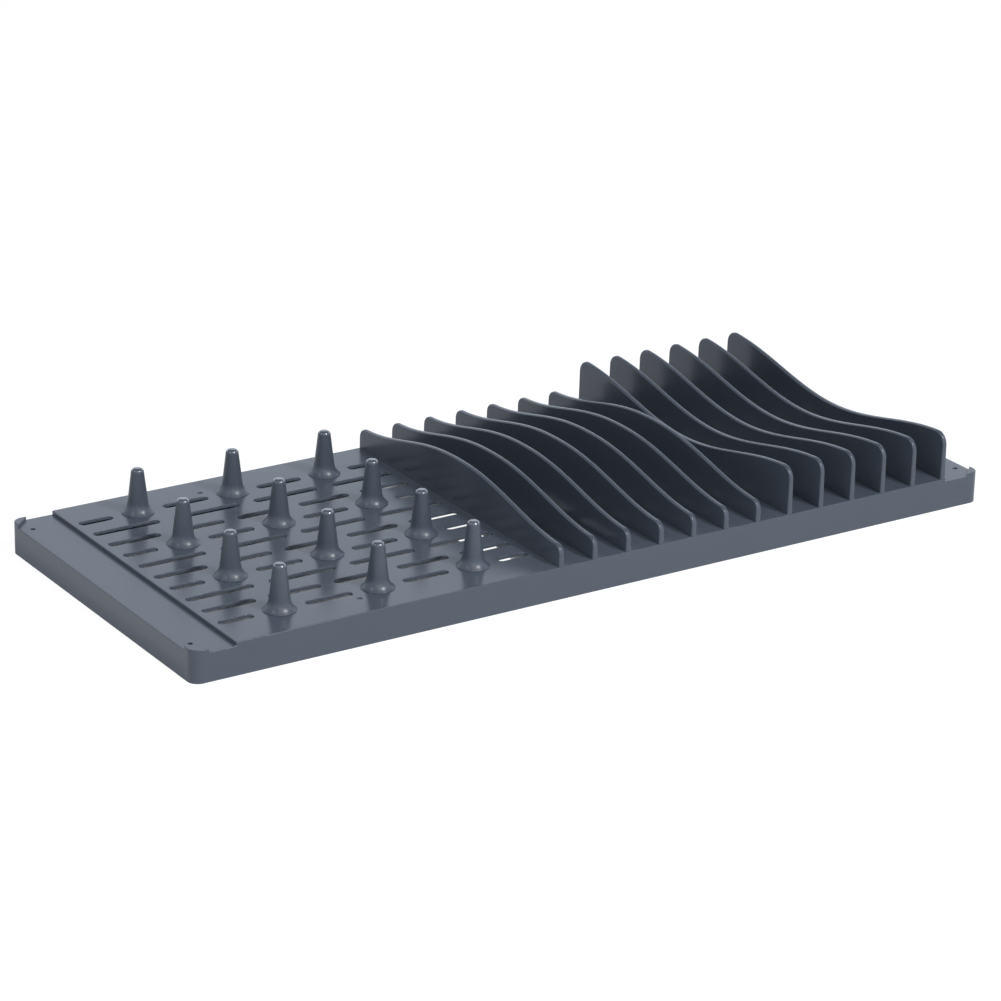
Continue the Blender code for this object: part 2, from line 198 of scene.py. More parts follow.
@dataclass(frozen=True)
class MouldedPlastic:
    """Satin moulded plastic with a fine tool grain, faint flow clouds and light scuffs."""

    name: str
    colour: tuple[float, float, float]
    roughness: float = 0.23
    specular: float = 0.50
    cloud_size: float = 0.055
    cloud_detail: float = 2.0
    cloud_share: float = 0.10
    fine_detail: float = 1.0
    speckle_size: float = 0.0016
    speckle_share: float = 0.07
    grain_size: float = 0.00045
    grain_depth: float = 0.000012
    scuff_size: float = 0.0035
    scuff_stretch: float = 9.0
    scuff_share: float = 0.05
    dry_mark_size: float = 0.021
    dry_mark_share: float = 0.010
    ring_shares: tuple[float, float, float] = (0.20, 0.28, 0.34)

    def clouds(self, bench: NodeBench, place: Signal, size: float, detail: float) -> Signal:
        """One noise pattern.

        Args:
            bench: where the node goes.
            place: Object coordinates.
            size: width of its patches.
            detail: how many finer layers it carries.

        Returns:
            A value about one half.
        """
        return bench.add(Grain.CLOUDS.value, {"noise_dimensions": "3D"},
                         {"Vector": place, "Scale": 1.0 / size, "Detail": detail}, "Fac")

    def dry_marks(self, bench: NodeBench, place: Signal) -> Signal:
        """Faint rings that drops leave as they dry.

        Args:
            bench: where the nodes go.
            place: Object coordinates.

        Returns:
            Above zero on a ring, zero off it.
        """
        distance = bench.add(Grain.CELLS.value, {"feature": "F1"},
                             {"Vector": place, "Scale": 1.0 / self.dry_mark_size}, "Distance")
        stops = tuple(zip(self.ring_shares, (BLACK, WHITE, BLACK)))
        ring = bench.add("ShaderNodeValToRGB", {"stops": stops}, {"Fac": distance})
        return ring * self.clouds(bench, place, self.cloud_size, 0.0)

    def gloss(self, bench: NodeBench, place: Signal, unevenness: Signal) -> dict:
        """How the surface shines.

        Args:
            bench: where the nodes go; not used here.
            place: Object coordinates; not used here.
            unevenness: what the pattern adds to the roughness.

        Returns:
            Values and links for the shader's sockets.
        """
        return {"Roughness": unevenness + self.roughness, "Specular IOR Level": self.specular}

    def dress(self) -> bpy.types.Material:
        """Make the finish.

        Returns:
            The finished material.
        """
        material = bpy.data.materials.new(self.name)
        material.use_nodes = True
        bench = NodeBench(material.node_tree)
        place = bench.add("ShaderNodeTexCoord", {}, {}, "Object")
        drawn = bench.add("ShaderNodeMapping", {"vector_type": "POINT"}, {
            "Vector": place,
            "Scale": (1.0, self.scuff_stretch, self.scuff_stretch),
        })
        cloud = self.clouds(bench, place, self.cloud_size, self.cloud_detail) - NOISE_MIDDLE
        speckle = self.clouds(bench, place, self.speckle_size, self.fine_detail) - NOISE_MIDDLE
        scuff_width = self.scuff_size * self.scuff_stretch
        scuff = self.clouds(bench, drawn, scuff_width, self.fine_detail) - NOISE_MIDDLE
        grain = self.clouds(bench, place, self.grain_size, self.fine_detail)
        marks = self.dry_marks(bench, place)
        tone = (cloud * self.cloud_share + speckle * self.speckle_share
                + scuff * self.scuff_share + 1.0 + marks * self.dry_mark_share)
        colour = bench.add("ShaderNodeVectorMath", {"operation": "SCALE"},
                           {0: self.colour, "Scale": tone})
        rough = (cloud * self.cloud_share + scuff * self.scuff_share
                 + marks * self.dry_mark_share)
        bump = bench.add("ShaderNodeBump", {}, {
            "Height": grain,
            "Distance": self.grain_depth,
            "Strength": 1.0,
        }, "Normal")
        shader = bench.add("ShaderNodeBsdfPrincipled", {}, {
            "Base Color": colour,
            "Normal": bump,
            **self.gloss(bench, place, rough),
        })
        bench.finish("ShaderNodeOutputMaterial", shader)
        return material


@dataclass(frozen=True)
class RubbedPlastic(MouldedPlastic):
    """The same plastic where cups have rubbed its upper end smooth."""

    foot_roughness: float = 0.32
    rubbed_roughness: float = 0.17
    rubbed_from: float = 0.0500
    rubbed_to: float = 0.0503
    rubbed_coat: float = 1.0
    coat_roughness: float = 0.18
    coat_ior: float = 1.7

    def gloss(self, bench: NodeBench, place: Signal, unevenness: Signal) -> dict:
        """How the surface shines, from its satin foot to its rubbed tip.

        Args:
            bench: where the nodes go.
            place: Object coordinates.
            unevenness: what the pattern adds to the roughness.

        Returns:
            Values and links for the shader's sockets.
        """
        height = bench.add("ShaderNodeSeparateXYZ", {}, {0: place}, "Z")
        rubbed = bench.add("ShaderNodeMapRange", {"interpolation_type": "SMOOTHSTEP"}, {
            "Value": height,
            "From Min": self.rubbed_from,
            "From Max": self.rubbed_to,
        })
        fall = self.foot_roughness - self.rubbed_roughness
        return {
            "Roughness": unevenness + (self.foot_roughness - rubbed * fall),
            "Coat Weight": rubbed * self.rubbed_coat,
            "Coat Roughness": self.coat_roughness,
            "Coat IOR": self.coat_ior,
            "Specular IOR Level": self.specular,
        }


@dataclass
class Piece:
    """A bmesh on its way to being one dressed piece of the rack."""

    name: str
    shape: bmesh.types.BMesh = field(default_factory=bmesh.new)

    def land(self, nodes: list[str], slot: str, material: bpy.types.Material) -> None:
        """Turn the shape into an object that rides on the rack and stands for its CAD nodes.

        Args:
            nodes: the CAD nodes that it replaces.
            slot: a material slot's name; not used.
            material: its finish.
        """
        bmesh.ops.remove_doubles(self.shape, verts=self.shape.verts[:], dist=WELD_DISTANCE)
        bmesh.ops.recalc_face_normals(self.shape, faces=self.shape.faces[:])
        mesh = bpy.data.meshes.new(self.name)
        self.shape.to_mesh(mesh)
        self.shape.free()
        mesh.materials.append(material)
        mesh.shade_smooth()
        mesh.set_sharp_from_angle(angle=SHARP_ANGLE)
        piece = bpy.data.objects.new(self.name, mesh)
        bpy.context.scene.collection.objects.link(piece)
        even = piece.modifiers.new("even_shading", "WEIGHTED_NORMAL")
        even.keep_sharp = True
        even.weight = FACE_SIZE_WEIGHT
        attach(piece, BODY)
        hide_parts(*nodes)
        log.info("%s: %d faces, stands for %s", self.name, len(mesh.polygons), ", ".join(nodes))


def pulled(shape: bmesh.types.BMesh, faces: list[bmesh.types.BMFace],
           shift: Vector) -> list[bmesh.types.BMFace]:
    """Pull faces along, with walls behind them.

    Args:
        shape: the mesh that they are in.
        faces: the faces, which are gone afterwards.
        shift: how far they move.

    Returns:
        The faces at their new place.
    """
    moved = bmesh.ops.extrude_face_region(shape, geom=faces)["geom"]
    verts = [item for item in moved if isinstance(item, bmesh.types.BMVert)]
    bmesh.ops.translate(shape, vec=shift, verts=verts)
    left = [face for face in faces if face.is_valid]
    bmesh.ops.delete(shape, geom=left, context="FACES_ONLY")
    return [item for item in moved if isinstance(item, bmesh.types.BMFace)]


@dataclass(frozen=True)
class Opening:
    """A round-ended opening, seen from above."""

    x: float
    y: float
    size_x: float
    size_y: float

    @classmethod
    def round_hole(cls, x: float, y: float, radius: float) -> "Opening":
        """A round opening."""
        return cls(x, y, radius * 2, radius * 2)


@dataclass
class DrainTray:
    """The moulded shell: skirt, slotted deck, end ledges with corner tabs, open below."""

    length: float
    depth: float
    peg_x: list[float]
    peg_y: list[float]
    fin_x: list[float]
    deck_height: float = 0.0215
    deck_skin: float = 0.0018
    skirt_wall: float = 0.0020
    step_wall: float = 0.0005
    corner_radius: float = 0.0070
    edge_radius: float = 0.0006
    ledge_width: float = 0.0290
    ledge_step: float = 0.0025
    tab_leg: float = 0.0112
    tab_drop: float = 0.0003
    pin_radius: float = 0.0016
    pin_rounding: float = 0.0002
    pin_from_end: float = 0.0074
    pin_from_side: float = 0.0168
    gate_radius: float = 0.0016
    gate_rounding: float = 0.0004
    gate_depth: float = 0.0006
    gate_offset: float = 0.0185
    gate_from_side: float = 0.0199
    slot_width: float = 0.0062
    slot_draft: float = 0.0004
    slot_margin: float = 0.0042
    peg_clear_half: float = 0.0180
    middle_slot_count: int = 5
    middle_slot_bridge: float = 0.0091
    long_slot_count: int = 4
    long_slot_bridge: float = 0.0110
    fin_slot_width: float = 0.0100
    fin_slot_count: int = 4
    fin_slot_bridge: float = 0.0120
    fin_slot_from_side: float = 0.0270
    fin_thickness: float = 0.0040
    tenon_thickness: float = 0.0016
    tenon_length: float = 0.0240
    tenon_from_side: float = 0.0340
    spigot_radius: float = 0.0046
    seat_clearance: float = 0.0003
    rim_rounding: float = 0.0003
    rim_steps: int = 4
    round_end_share: float = 0.999
    corner_steps: int = 10
    edge_steps: int = 4
    hole_steps: int = 5

    @property
    def deck_half(self) -> float:
        """Half the deck's length."""
        return self.length / 2 - self.ledge_width

    @property
    def tenon_y(self) -> list[float]:
        """Places of the tenons along a fin."""
        spread = (self.depth - self.tenon_from_side * 2) / 2
        return [-spread, 0.0, spread]

    def spans(self, low: float, high: float, count: int,
              bridge: float) -> list[tuple[float, float]]:
        """Equal spans with solid bridges between them.

        Args:
            low: where the first starts.
            high: where the last ends.
            count: how many.
            bridge: what stays between two.

        Returns:
            Start and end of each.
        """
        size = (high - low - bridge * (count - 1)) / count
        return [(low + (size + bridge) * index, low + (size + bridge) * index + size)
                for index in range(count)]

    def cup_slots(self) -> list[Opening]:
        """Slots under the cups: rows with pegs in them, rows of middling and of long slots.

        Returns:
            Every opening of the cup zone.
        """
        low = self.slot_margin - self.deck_half
        high = self.fin_x[0] - self.fin_thickness / 2 - self.slot_margin
        starts = [low] + [x + self.peg_clear_half for x in self.peg_x]
        ends = [x - self.peg_clear_half for x in self.peg_x] + [high]
        patterns = (
            list(zip(starts, ends)),
            self.spans(low, high, self.middle_slot_count, self.middle_slot_bridge),
            self.spans(low, high, self.long_slot_count, self.long_slot_bridge),
        )
        pitch = (self.peg_y[1] - self.peg_y[0]) / len(patterns)
        rows = (len(self.peg_y) - 1) * len(patterns) + 1
        return [Opening((start + end) / 2, self.peg_y[0] + pitch * row, end - start,
                        self.slot_width)
                for row in range(rows) for start, end in patterns[row % len(patterns)]]

    def fin_slots(self) -> list[Opening]:
        """Slots between the fins.

        Returns:
            Every opening of the plate zone.
        """
        reach = self.depth / 2 - self.fin_slot_from_side
        lanes = [(left + right) / 2 for left, right in zip(self.fin_x, self.fin_x[1:])]
        spans = self.spans(-reach, reach, self.fin_slot_count, self.fin_slot_bridge)
        return [Opening(x, (low + high) / 2, self.fin_slot_width, high - low)
                for x in lanes for low, high in spans]

    def seats(self) -> list[Opening]:
        """Sockets for the pegs' spigots and slits for the fins' tenons.

        Returns:
            Every seat in the deck.
        """
        socket_radius = self.spigot_radius + self.seat_clearance
        sockets = [Opening.round_hole(x, y, socket_radius)
                   for x in self.peg_x for y in self.peg_y]
        slit_width = self.tenon_thickness + self.seat_clearance * 2
        slit_length = self.tenon_length + self.seat_clearance * 2
        slits = [Opening(x, y, slit_width, slit_length)
                 for x in self.fin_x for y in self.tenon_y]
        return sockets + slits

    def gate_marks(self) -> list[Opening]:
        """Round marks where the plastic ran into the mould.

        Returns:
            The mark near each long side.
        """
        x = sum(self.peg_x) / len(self.peg_x) - self.gate_offset
        y = self.depth / 2 - self.gate_from_side
        return [Opening.round_hole(x, side * y, self.gate_radius) for side in (-1, 1)]

    def pin_holes(self) -> list[Opening]:
        """Small round holes in the end ledges, one by each corner tab.

        Returns:
            The four holes.
        """
        x = self.length / 2 - self.pin_from_end
        y = self.depth / 2 - self.pin_from_side
        return [Opening.round_hole(side * x, front * y, self.pin_radius)
                for side in (-1, 1) for front in (-1, 1)]

    def split(self, shape: bmesh.types.BMesh, point: Vector, across: Vector,
              beyond: float = 0.0) -> None:
        """Cut the flat plan along a line.

        Args:
            shape: the plan.
            point: a point of the line.
            across: the line's normal.
            beyond: where not zero, only faces further out than this x are cut.
        """
        faces = [face for face in shape.faces
                 if beyond == 0.0 or face.calc_center_median().x * beyond > beyond * beyond]
        geometry = set(faces)
        for face in faces:
            geometry.update(face.edges)
            geometry.update(face.verts)
        bmesh.ops.bisect_plane(shape, geom=list(geometry), plane_co=point, plane_no=across)

    def outline(self, shape: bmesh.types.BMesh, inset: float, deck_half: float,
                tabs: bool) -> None:
        """Draw the tray's plan on the ground, split into deck, ledges and tabs.

        Args:
            shape: an empty bmesh.
            inset: how far inside the outer face the plan lies.
            deck_half: half the raised deck's length.
            tabs: whether the corners are split off as tabs.
        """
        bmesh.ops.create_grid(shape, x_segments=1, y_segments=1, size=UNIT_SQUARE_HALF)
        size = (self.length - inset * 2, self.depth - inset * 2, 1.0)
        bmesh.ops.scale(shape, vec=size, verts=shape.verts[:])
        bmesh.ops.bevel(shape, geom=shape.verts[:], offset=self.corner_radius - inset,
                        segments=self.corner_steps, affect="VERTICES",
                        profile=ROUND_PROFILE_SHARE, material=KEEP_MATERIAL)
        for side in (-1, 1):
            self.split(shape, ALONG * side * deck_half, ALONG)
            if not tabs:
                continue
            for front in (-1, 1):
                corner = Vector((side * (self.length / 2 - self.tab_leg),
                                 front * self.depth / 2, 0.0))
                self.split(shape, corner, Vector((side, front, 0.0)), side * deck_half)

    def shell(self, inset: float, deck_inset: float, skin: float,
              tabs: bool) -> bmesh.types.BMesh:
        """One skin of the tray, open below: the outer one, or the inner one.

        Args:
            inset: how far inside the outer face it lies.
            deck_inset: how far inside the deck's ends it lies.
            skin: how far under the outer top faces it lies.
            tabs: whether it has the raised corner tabs.

        Returns:
            The skin, with one face for the deck and one for each ledge.
        """
        shape = bmesh.new()
        deck_half = self.deck_half - deck_inset
        self.outline(shape, inset, deck_half, tabs)
        tab_line = self.length / 2 + self.depth / 2 - self.tab_leg
        tops = pulled(shape, shape.faces[:], UP * (self.deck_height - self.ledge_step - skin))
        places = [(face, face.calc_center_median()) for face in tops]
        deck = [face for face, place in places if abs(place.x) < deck_half]
        corners = [face for face, place in places
                   if tabs and abs(place.x) + abs(place.y) > tab_line]
        pulled(shape, deck, UP * self.ledge_step)
        if corners:
            pulled(shape, corners, UP * (self.ledge_step - self.tab_drop))
        bmesh.ops.remove_doubles(shape, verts=shape.verts[:], dist=WELD_DISTANCE)
        bmesh.ops.dissolve_limit(shape, angle_limit=FLAT_ANGLE, verts=shape.verts[:],
                                 edges=shape.edges[:])
        bmesh.ops.recalc_face_normals(shape, faces=shape.faces[:])
        # Only outward corners are rounded: the feet of the step and of the tabs are crisp.
        sharp = [edge for edge in shape.edges if len(edge.link_faces) == 2
                 and edge.is_convex and edge.calc_face_angle() > SHARP_ANGLE]
        bmesh.ops.bevel(shape, geom=sharp, offset=self.edge_radius, segments=self.edge_steps,
                        affect="EDGES", profile=ROUND_PROFILE_SHARE, material=KEEP_MATERIAL,
                        clamp_overlap=True)
        return shape

    def skins(self) -> bmesh.types.BMesh:
        """Put the outer and the inner skin in one mesh.

        Returns:
            Both skins, with no rim between them yet.
        """
        outer = self.shell(0.0, 0.0, 0.0, tabs=True)
        inner = self.shell(self.skirt_wall, self.step_wall, self.deck_skin, tabs=False)
        mesh = bpy.data.meshes.new("drain_tray_inner")
        inner.to_mesh(mesh)
        inner.free()
        outer.from_mesh(mesh)
        bpy.data.meshes.remove(mesh)
        return outer

    def sink(self, shape: bmesh.types.BMesh, caps: list[bmesh.types.BMFace], inward: float,
             downward: float) -> None:
        """Sink the faces that close openings, with sloping walls round them.

        Args:
            shape: the tray.
            caps: the faces.
            inward: how much smaller they get on every side.
            downward: how far they sink.
        """
        bmesh.ops.inset_region(shape, faces=caps, thickness=inward, use_even_offset=True,
                               use_boundary=True)
        bmesh.ops.translate(shape, vec=UP * -downward,
                            verts=list({vert for cap in caps for vert in cap.verts}))

    def cap(self, shape: bmesh.types.BMesh, opening: Opening, top: float,
            rounding: float) -> bmesh.types.BMFace:
        """Lay the round-ended face that closes an opening.

        Args:
            shape: the tray.
            opening: where it is.
            top: height of the face.
            rounding: how much wider than the opening it is, on every side.

        Returns:
            The face.
        """
        grid = bmesh.ops.create_grid(shape, x_segments=1, y_segments=1, size=UNIT_SQUARE_HALF)
        size = (opening.size_x + rounding * 2, opening.size_y + rounding * 2, 1.0)
        bmesh.ops.scale(shape, vec=size, verts=grid["verts"])
        bmesh.ops.translate(shape, vec=(opening.x, opening.y, top), verts=grid["verts"])
        radius = min(size[0], size[1]) / 2 * self.round_end_share
        rounded = bmesh.ops.bevel(shape, geom=grid["verts"], offset=radius,
                                  segments=self.hole_steps, affect="VERTICES",
                                  profile=ROUND_PROFILE_SHARE, material=KEEP_MATERIAL)
        # The tiny edges between two corners would turn over when the face is inset.
        bmesh.ops.remove_doubles(shape, verts=rounded["verts"],
                                 dist=radius * (1 - self.round_end_share) * ROUND_END_MARGIN)
        kept = next(vert for vert in rounded["verts"] if vert.is_valid)
        return kept.link_faces[0]

    def punch(self, shape: bmesh.types.BMesh, openings: list[Opening], top: float,
              bottom: float, rounding: float, draft: float = 0.0, blind: bool = False) -> None:
        """Make the rims and walls of openings through a skin.

        Args:
            shape: the tray.
            openings: where they are.
            top: height of the face that they open into.
            bottom: height at which their walls end.
            rounding: radius of their upper rims, zero for a crisp one.
            draft: how much narrower they are at the bottom, on every side.
            blind: whether they keep a floor.
        """
        caps = [self.cap(shape, opening, top, rounding) for opening in openings]
        for step in range(self.rim_steps if rounding else 0):
            turn, next_turn = (QUARTER_TURN * (step + more) / self.rim_steps for more in (0, 1))
            self.sink(shape, caps, rounding * (math.sin(next_turn) - math.sin(turn)),
                      rounding * (math.cos(turn) - math.cos(next_turn)))
        depth = caps[0].calc_center_median().z - bottom
        if draft:
            self.sink(shape, caps, draft, depth)
        else:
            caps = pulled(shape, caps, UP * -depth)
        if not blind:
            bmesh.ops.delete(shape, geom=caps, context="FACES_ONLY")

    def open_panels(self, shape: bmesh.types.BMesh, height: float) -> None:
        """Take away the large flat faces at a height.

        Args:
            shape: the tray.
            height: where they are.
        """
        panels = [face for face in shape.faces if abs(face.normal.z) > LEVEL_SHARE
                  and abs(face.calc_center_median().z - height) < WELD_DISTANCE]
        bmesh.ops.delete(shape, geom=panels, context="FACES_ONLY")

    def within(self, triangles: list[list[int]], rims: set[frozenset[int]]) -> list[list[int]]:
        """Pick the triangles of a flat net that lie in the panel and not in an opening.

        Args:
            triangles: the net's triangles, out to its hull.
            rims: the sides that part solid from open.

        Returns:
            The solid ones.
        """
        sides = [[frozenset(side) for side in zip(triangle, triangle[1:] + triangle[:1])]
                 for triangle in triangles]
        beside = {}
        for index, own_sides in enumerate(sides):
            for side in own_sides:
                beside.setdefault(side, []).append(index)
        # Walking in from the hull, each rim that is crossed changes open to solid or back.
        solid = {}
        waiting = [(found[0], side in rims) for side, found in beside.items()
                   if len(found) == 1]
        while waiting:
            index, is_solid = waiting.pop()
            if index in solid:
                continue
            solid[index] = is_solid
            waiting += [(other, is_solid != (side in rims)) for side in sides[index]
                        for other in beside[side] if other != index]
        return [triangle for index, triangle in enumerate(triangles) if solid[index]]

    def fill_panels(self, shape: bmesh.types.BMesh, height: float) -> None:
        """Close the flat panels at a height, between their outlines and their openings.

        Args:
            shape: the tray.
            height: where they are.
        """
        edges = [edge for edge in shape.edges if edge.is_boundary
                 and all(abs(vert.co.z - height) < WELD_DISTANCE for vert in edge.verts)]
        verts = list(dict.fromkeys(vert for edge in edges for vert in edge.verts))
        numbers = {vert: index for index, vert in enumerate(verts)}
        pairs = [tuple(numbers[vert] for vert in edge.verts) for edge in edges]
        places = [vert.co.xy for vert in verts]
        _, _, net_faces, sources, *_ = delaunay_2d_cdt(places, pairs, [], WHOLE_HULL,
                                                       FILL_NEARNESS)
        triangles = [[sources[corner][0] for corner in face] for face in net_faces]
        rims = {frozenset(pair) for pair in pairs}
        for triangle in self.within(triangles, rims):
            shape.faces.new([verts[corner] for corner in triangle])

    def build(self) -> Piece:
        """Model the whole shell.

        Returns:
            The tray, ready to land.
        """
        shape = self.skins()
        deck = self.deck_height
        ledge = deck - self.ledge_step
        under_deck = deck - self.deck_skin
        under_ledge = ledge - self.deck_skin
        panels = (deck, under_deck, ledge, under_ledge)
        for height in panels:
            self.open_panels(shape, height)
        self.punch(shape, self.cup_slots() + self.fin_slots(), deck, under_deck,
                   self.rim_rounding, self.slot_draft)
        self.punch(shape, self.seats(), deck, under_deck, 0.0)
        self.punch(shape, self.gate_marks(), deck, deck - self.gate_depth,
                   self.gate_rounding, blind=True)
        self.punch(shape, self.pin_holes(), ledge, under_ledge, self.pin_rounding)
        for height in panels + (0.0,):
            self.fill_panels(shape, height)
        stray = [edge for edge in shape.edges if edge.is_wire]
        bmesh.ops.delete(shape, geom=stray, context="EDGES")
        loose = [vert for vert in shape.verts if not vert.link_edges]
        bmesh.ops.delete(shape, geom=loose, context="VERTS")
        return Piece("drain_tray", shape)


@dataclass
class PlateFins:
    """Wavy upright fins, thinner upwards, which stand on tenons in the deck."""

    depth: float
    foot: float
    thickness: float
    tenon_length: float
    tenon_thickness: float
    tenon_y: list[float]
    tenon_drop: float = 0.0018
    draft: float = math.radians(0.9)
    hump_low: float = 0.0140
    hump_high: float = 0.0318
    dip_low: float = 0.0149
    dip_high: float = 0.0320
    hump_wave_power: float = 1.1
    dip_wave_power: float = 1.0
    hump_corner: float = 0.0062
    dip_corner: float = 0.0085
    corner_room_share: float = 1.06
    edge_radius: float = 0.0011
    wave_steps: int = 46
    corner_steps: int = 8
    edge_steps: int = 4
    hump_count: int = 7

    def top_height(self, shape: FinShape, y: float) -> float:
        """Height of the wavy top over the deck.

        Args:
            shape: the fin's side view.
            y: place along the fin.

        Returns:
            The height.
        """
        reach_share = min(abs(y) * 2 / self.depth, 1.0)
        power = self.hump_wave_power if shape is FinShape.HUMP else self.dip_wave_power
        wave_share = (1 + math.cos(math.pi * reach_share ** power)) / 2
        if shape is FinShape.HUMP:
            return self.hump_low + (self.hump_high - self.hump_low) * wave_share
        return self.dip_high - (self.dip_high - self.dip_low) * wave_share

    def side_view(self, fin: bmesh.types.BMesh, shape: FinShape) -> None:
        """Draw the flat side view, with its wavy top and rounded upper corners.

        Args:
            fin: an empty bmesh.
            shape: the fin's side view.
        """
        bmesh.ops.create_grid(fin, x_segments=self.wave_steps, y_segments=1,
                              size=UNIT_SQUARE_HALF)
        bmesh.ops.scale(fin, vec=(self.depth, 1.0, 1.0), verts=fin.verts[:])
        bmesh.ops.transform(fin, matrix=PLAN_TO_SIDE_VIEW, verts=fin.verts[:])
        radius = self.hump_corner if shape is FinShape.HUMP else self.dip_corner
        half = self.depth / 2
        shoulder_share = ((half - radius * self.corner_room_share)
                          / (half - self.depth / self.wave_steps))
        for vert in fin.verts:
            if abs(vert.co.y) < half - WELD_DISTANCE:
                vert.co.y *= shoulder_share
            vert.co.z = self.top_height(shape, vert.co.y) if vert.co.z > 0 else 0.0
        corners = [vert for vert in fin.verts if vert.co.z > 0 and len(vert.link_faces) == 1]
        bmesh.ops.bevel(fin, geom=corners, offset=radius, segments=self.corner_steps,
                        affect="VERTICES", profile=ROUND_PROFILE_SHARE, material=KEEP_MATERIAL)

    def thicken(self, fin: bmesh.types.BMesh) -> None:
        """Give the side view its thickness, its draft and its rounded rim.

        Args:
            fin: the flat side view.
        """
        copied = bmesh.ops.extrude_face_region(fin, geom=fin.faces[:], use_keep_orig=True)
        right = [item for item in copied["geom"] if isinstance(item, bmesh.types.BMVert)]
        bmesh.ops.translate(fin, vec=(self.thickness, 0.0, 0.0), verts=right)
        bmesh.ops.translate(fin, vec=(-self.thickness / 2, 0.0, 0.0), verts=fin.verts[:])
        bmesh.ops.recalc_face_normals(fin, faces=fin.faces[:])
        rim = [edge for edge in fin.edges
               if edge.calc_face_angle() > SHARP_ANGLE
               and abs(edge.verts[0].co.x - edge.verts[1].co.x) < WELD_DISTANCE
               and max(vert.co.z for vert in edge.verts) > WELD_DISTANCE]
        for vert in fin.verts:
            vert.co.x -= math.copysign(vert.co.z * math.tan(self.draft), vert.co.x)
        bmesh.ops.bevel(fin, geom=rim, offset=self.edge_radius, segments=self.edge_steps,
                        affect="EDGES", profile=ROUND_PROFILE_SHARE, material=KEEP_MATERIAL,
                        clamp_overlap=True)

    def build(self, name: str, shape: FinShape, x: float) -> Piece:
        """Model one fin.

        Args:
            name: the piece's name.
            shape: its side view.
            x: its middle.

        Returns:
            The fin, ready to land.
        """
        piece = Piece(name)
        fin = piece.shape
        self.side_view(fin, shape)
        self.thicken(fin)
        for y in self.tenon_y:
            tenon = bmesh.ops.create_cube(fin, size=1.0)["verts"]
            size = (self.tenon_thickness, self.tenon_length, self.tenon_drop)
            bmesh.ops.scale(fin, vec=size, verts=tenon)
            bmesh.ops.translate(fin, vec=(0.0, y, -self.tenon_drop / 2), verts=tenon)
        bmesh.ops.translate(fin, vec=(x, 0.0, self.foot), verts=fin.verts[:])
        return piece


@dataclass
class CupPegs:
    """Hollow tapered pegs whose flared feet run out into the deck."""

    foot: float
    spigot_radius: float
    spigot_drop: float = 0.0018
    height: float = 0.0299
    foot_radius: float = 0.0106
    rim_height: float = 0.0004
    rim_tuck: float = 0.0002
    flare_height: float = 0.0088
    flare_power: float = 3.2
    shaft_radius: float = 0.0064
    tip_radius: float = 0.0042
    tip_rounding: float = 0.0027
    bore_radius: float = 0.0030
    bore_top_radius: float = 0.0018
    bore_height: float = 0.0225
    flare_steps: int = 12
    rim_steps: int = 5
    tip_steps: int = 7
    turn_steps: int = 48

    def profile(self) -> list[tuple[float, float]]:
        """Half section from the tip down the outside and up the bore.

        Returns:
            Radius and height of each point.
        """
        points = [(0.0, self.height)]
        flat_radius = self.tip_radius - self.tip_rounding
        shoulder = self.height - self.tip_rounding
        for step in range(self.tip_steps + 1):
            turn = QUARTER_TURN * (1 - step / self.tip_steps)
            points.append((flat_radius + self.tip_rounding * math.cos(turn),
                           shoulder + self.tip_rounding * math.sin(turn)))
        taper = (self.shaft_radius - self.tip_radius) / (shoulder - self.flare_height)
        spread = self.foot_radius - self.shaft_radius - taper * self.flare_height
        for step in range(self.flare_steps + 1):
            fall_share = step / self.flare_steps
            fall = (self.flare_height - self.rim_height) * fall_share
            flare = spread * fall_share ** self.flare_power
            points.append((self.shaft_radius + taper * fall + flare, self.flare_height - fall))
        for step in range(1, self.rim_steps + 1):
            turn = QUARTER_TURN * step / self.rim_steps
            points.append((self.foot_radius - self.rim_tuck * (1 - math.cos(turn)),
                           self.rim_height * (1 - math.sin(turn))))
        return points + [
            (self.spigot_radius, 0.0),
            (self.spigot_radius, -self.spigot_drop),
            (self.bore_radius, -self.spigot_drop),
            (self.bore_top_radius, self.bore_height),
            (0.0, self.bore_height),
        ]

    def build(self, name: str, x: float, y: float) -> Piece:
        """Turn one peg.

        Args:
            name: the piece's name.
            x: its middle.
            y: its middle.

        Returns:
            The peg, ready to land.
        """
        piece = Piece(name)
        peg = piece.shape
        verts = [peg.verts.new((radius, 0.0, height)) for radius, height in self.profile()]
        edges = [peg.edges.new(pair) for pair in zip(verts, verts[1:])]
        bmesh.ops.spin(peg, geom=verts + edges, cent=(0.0, 0.0, 0.0), axis=UP, angle=FULL_TURN,
                       steps=self.turn_steps, use_merge=True, use_duplicate=False)
        bmesh.ops.remove_doubles(peg, verts=peg.verts[:], dist=WELD_DISTANCE)
        bmesh.ops.translate(peg, vec=(x, y, self.foot), verts=peg.verts[:])
        return piece


@dataclass(frozen=True)
class SoftLamp:
    """One square soft lamp that points at the rack."""

    name: str
    direction: tuple[float, float, float]
    distance: float
    size: float
    watts: float

    def hang(self) -> None:
        """Hang the lamp."""
        data = bpy.data.lights.new(self.name, "AREA")
        data.shape = "SQUARE"
        data.size = self.size
        data.energy = self.watts
        lamp = bpy.data.objects.new(self.name, data)
        lamp.location = Vector(self.direction).normalized() * self.distance
        lamp.rotation_euler = lamp.location.to_track_quat("Z", "Y").to_euler()
        bpy.context.scene.collection.objects.link(lamp)
        log.info("lamp %s: %.1f W", self.name, self.watts)


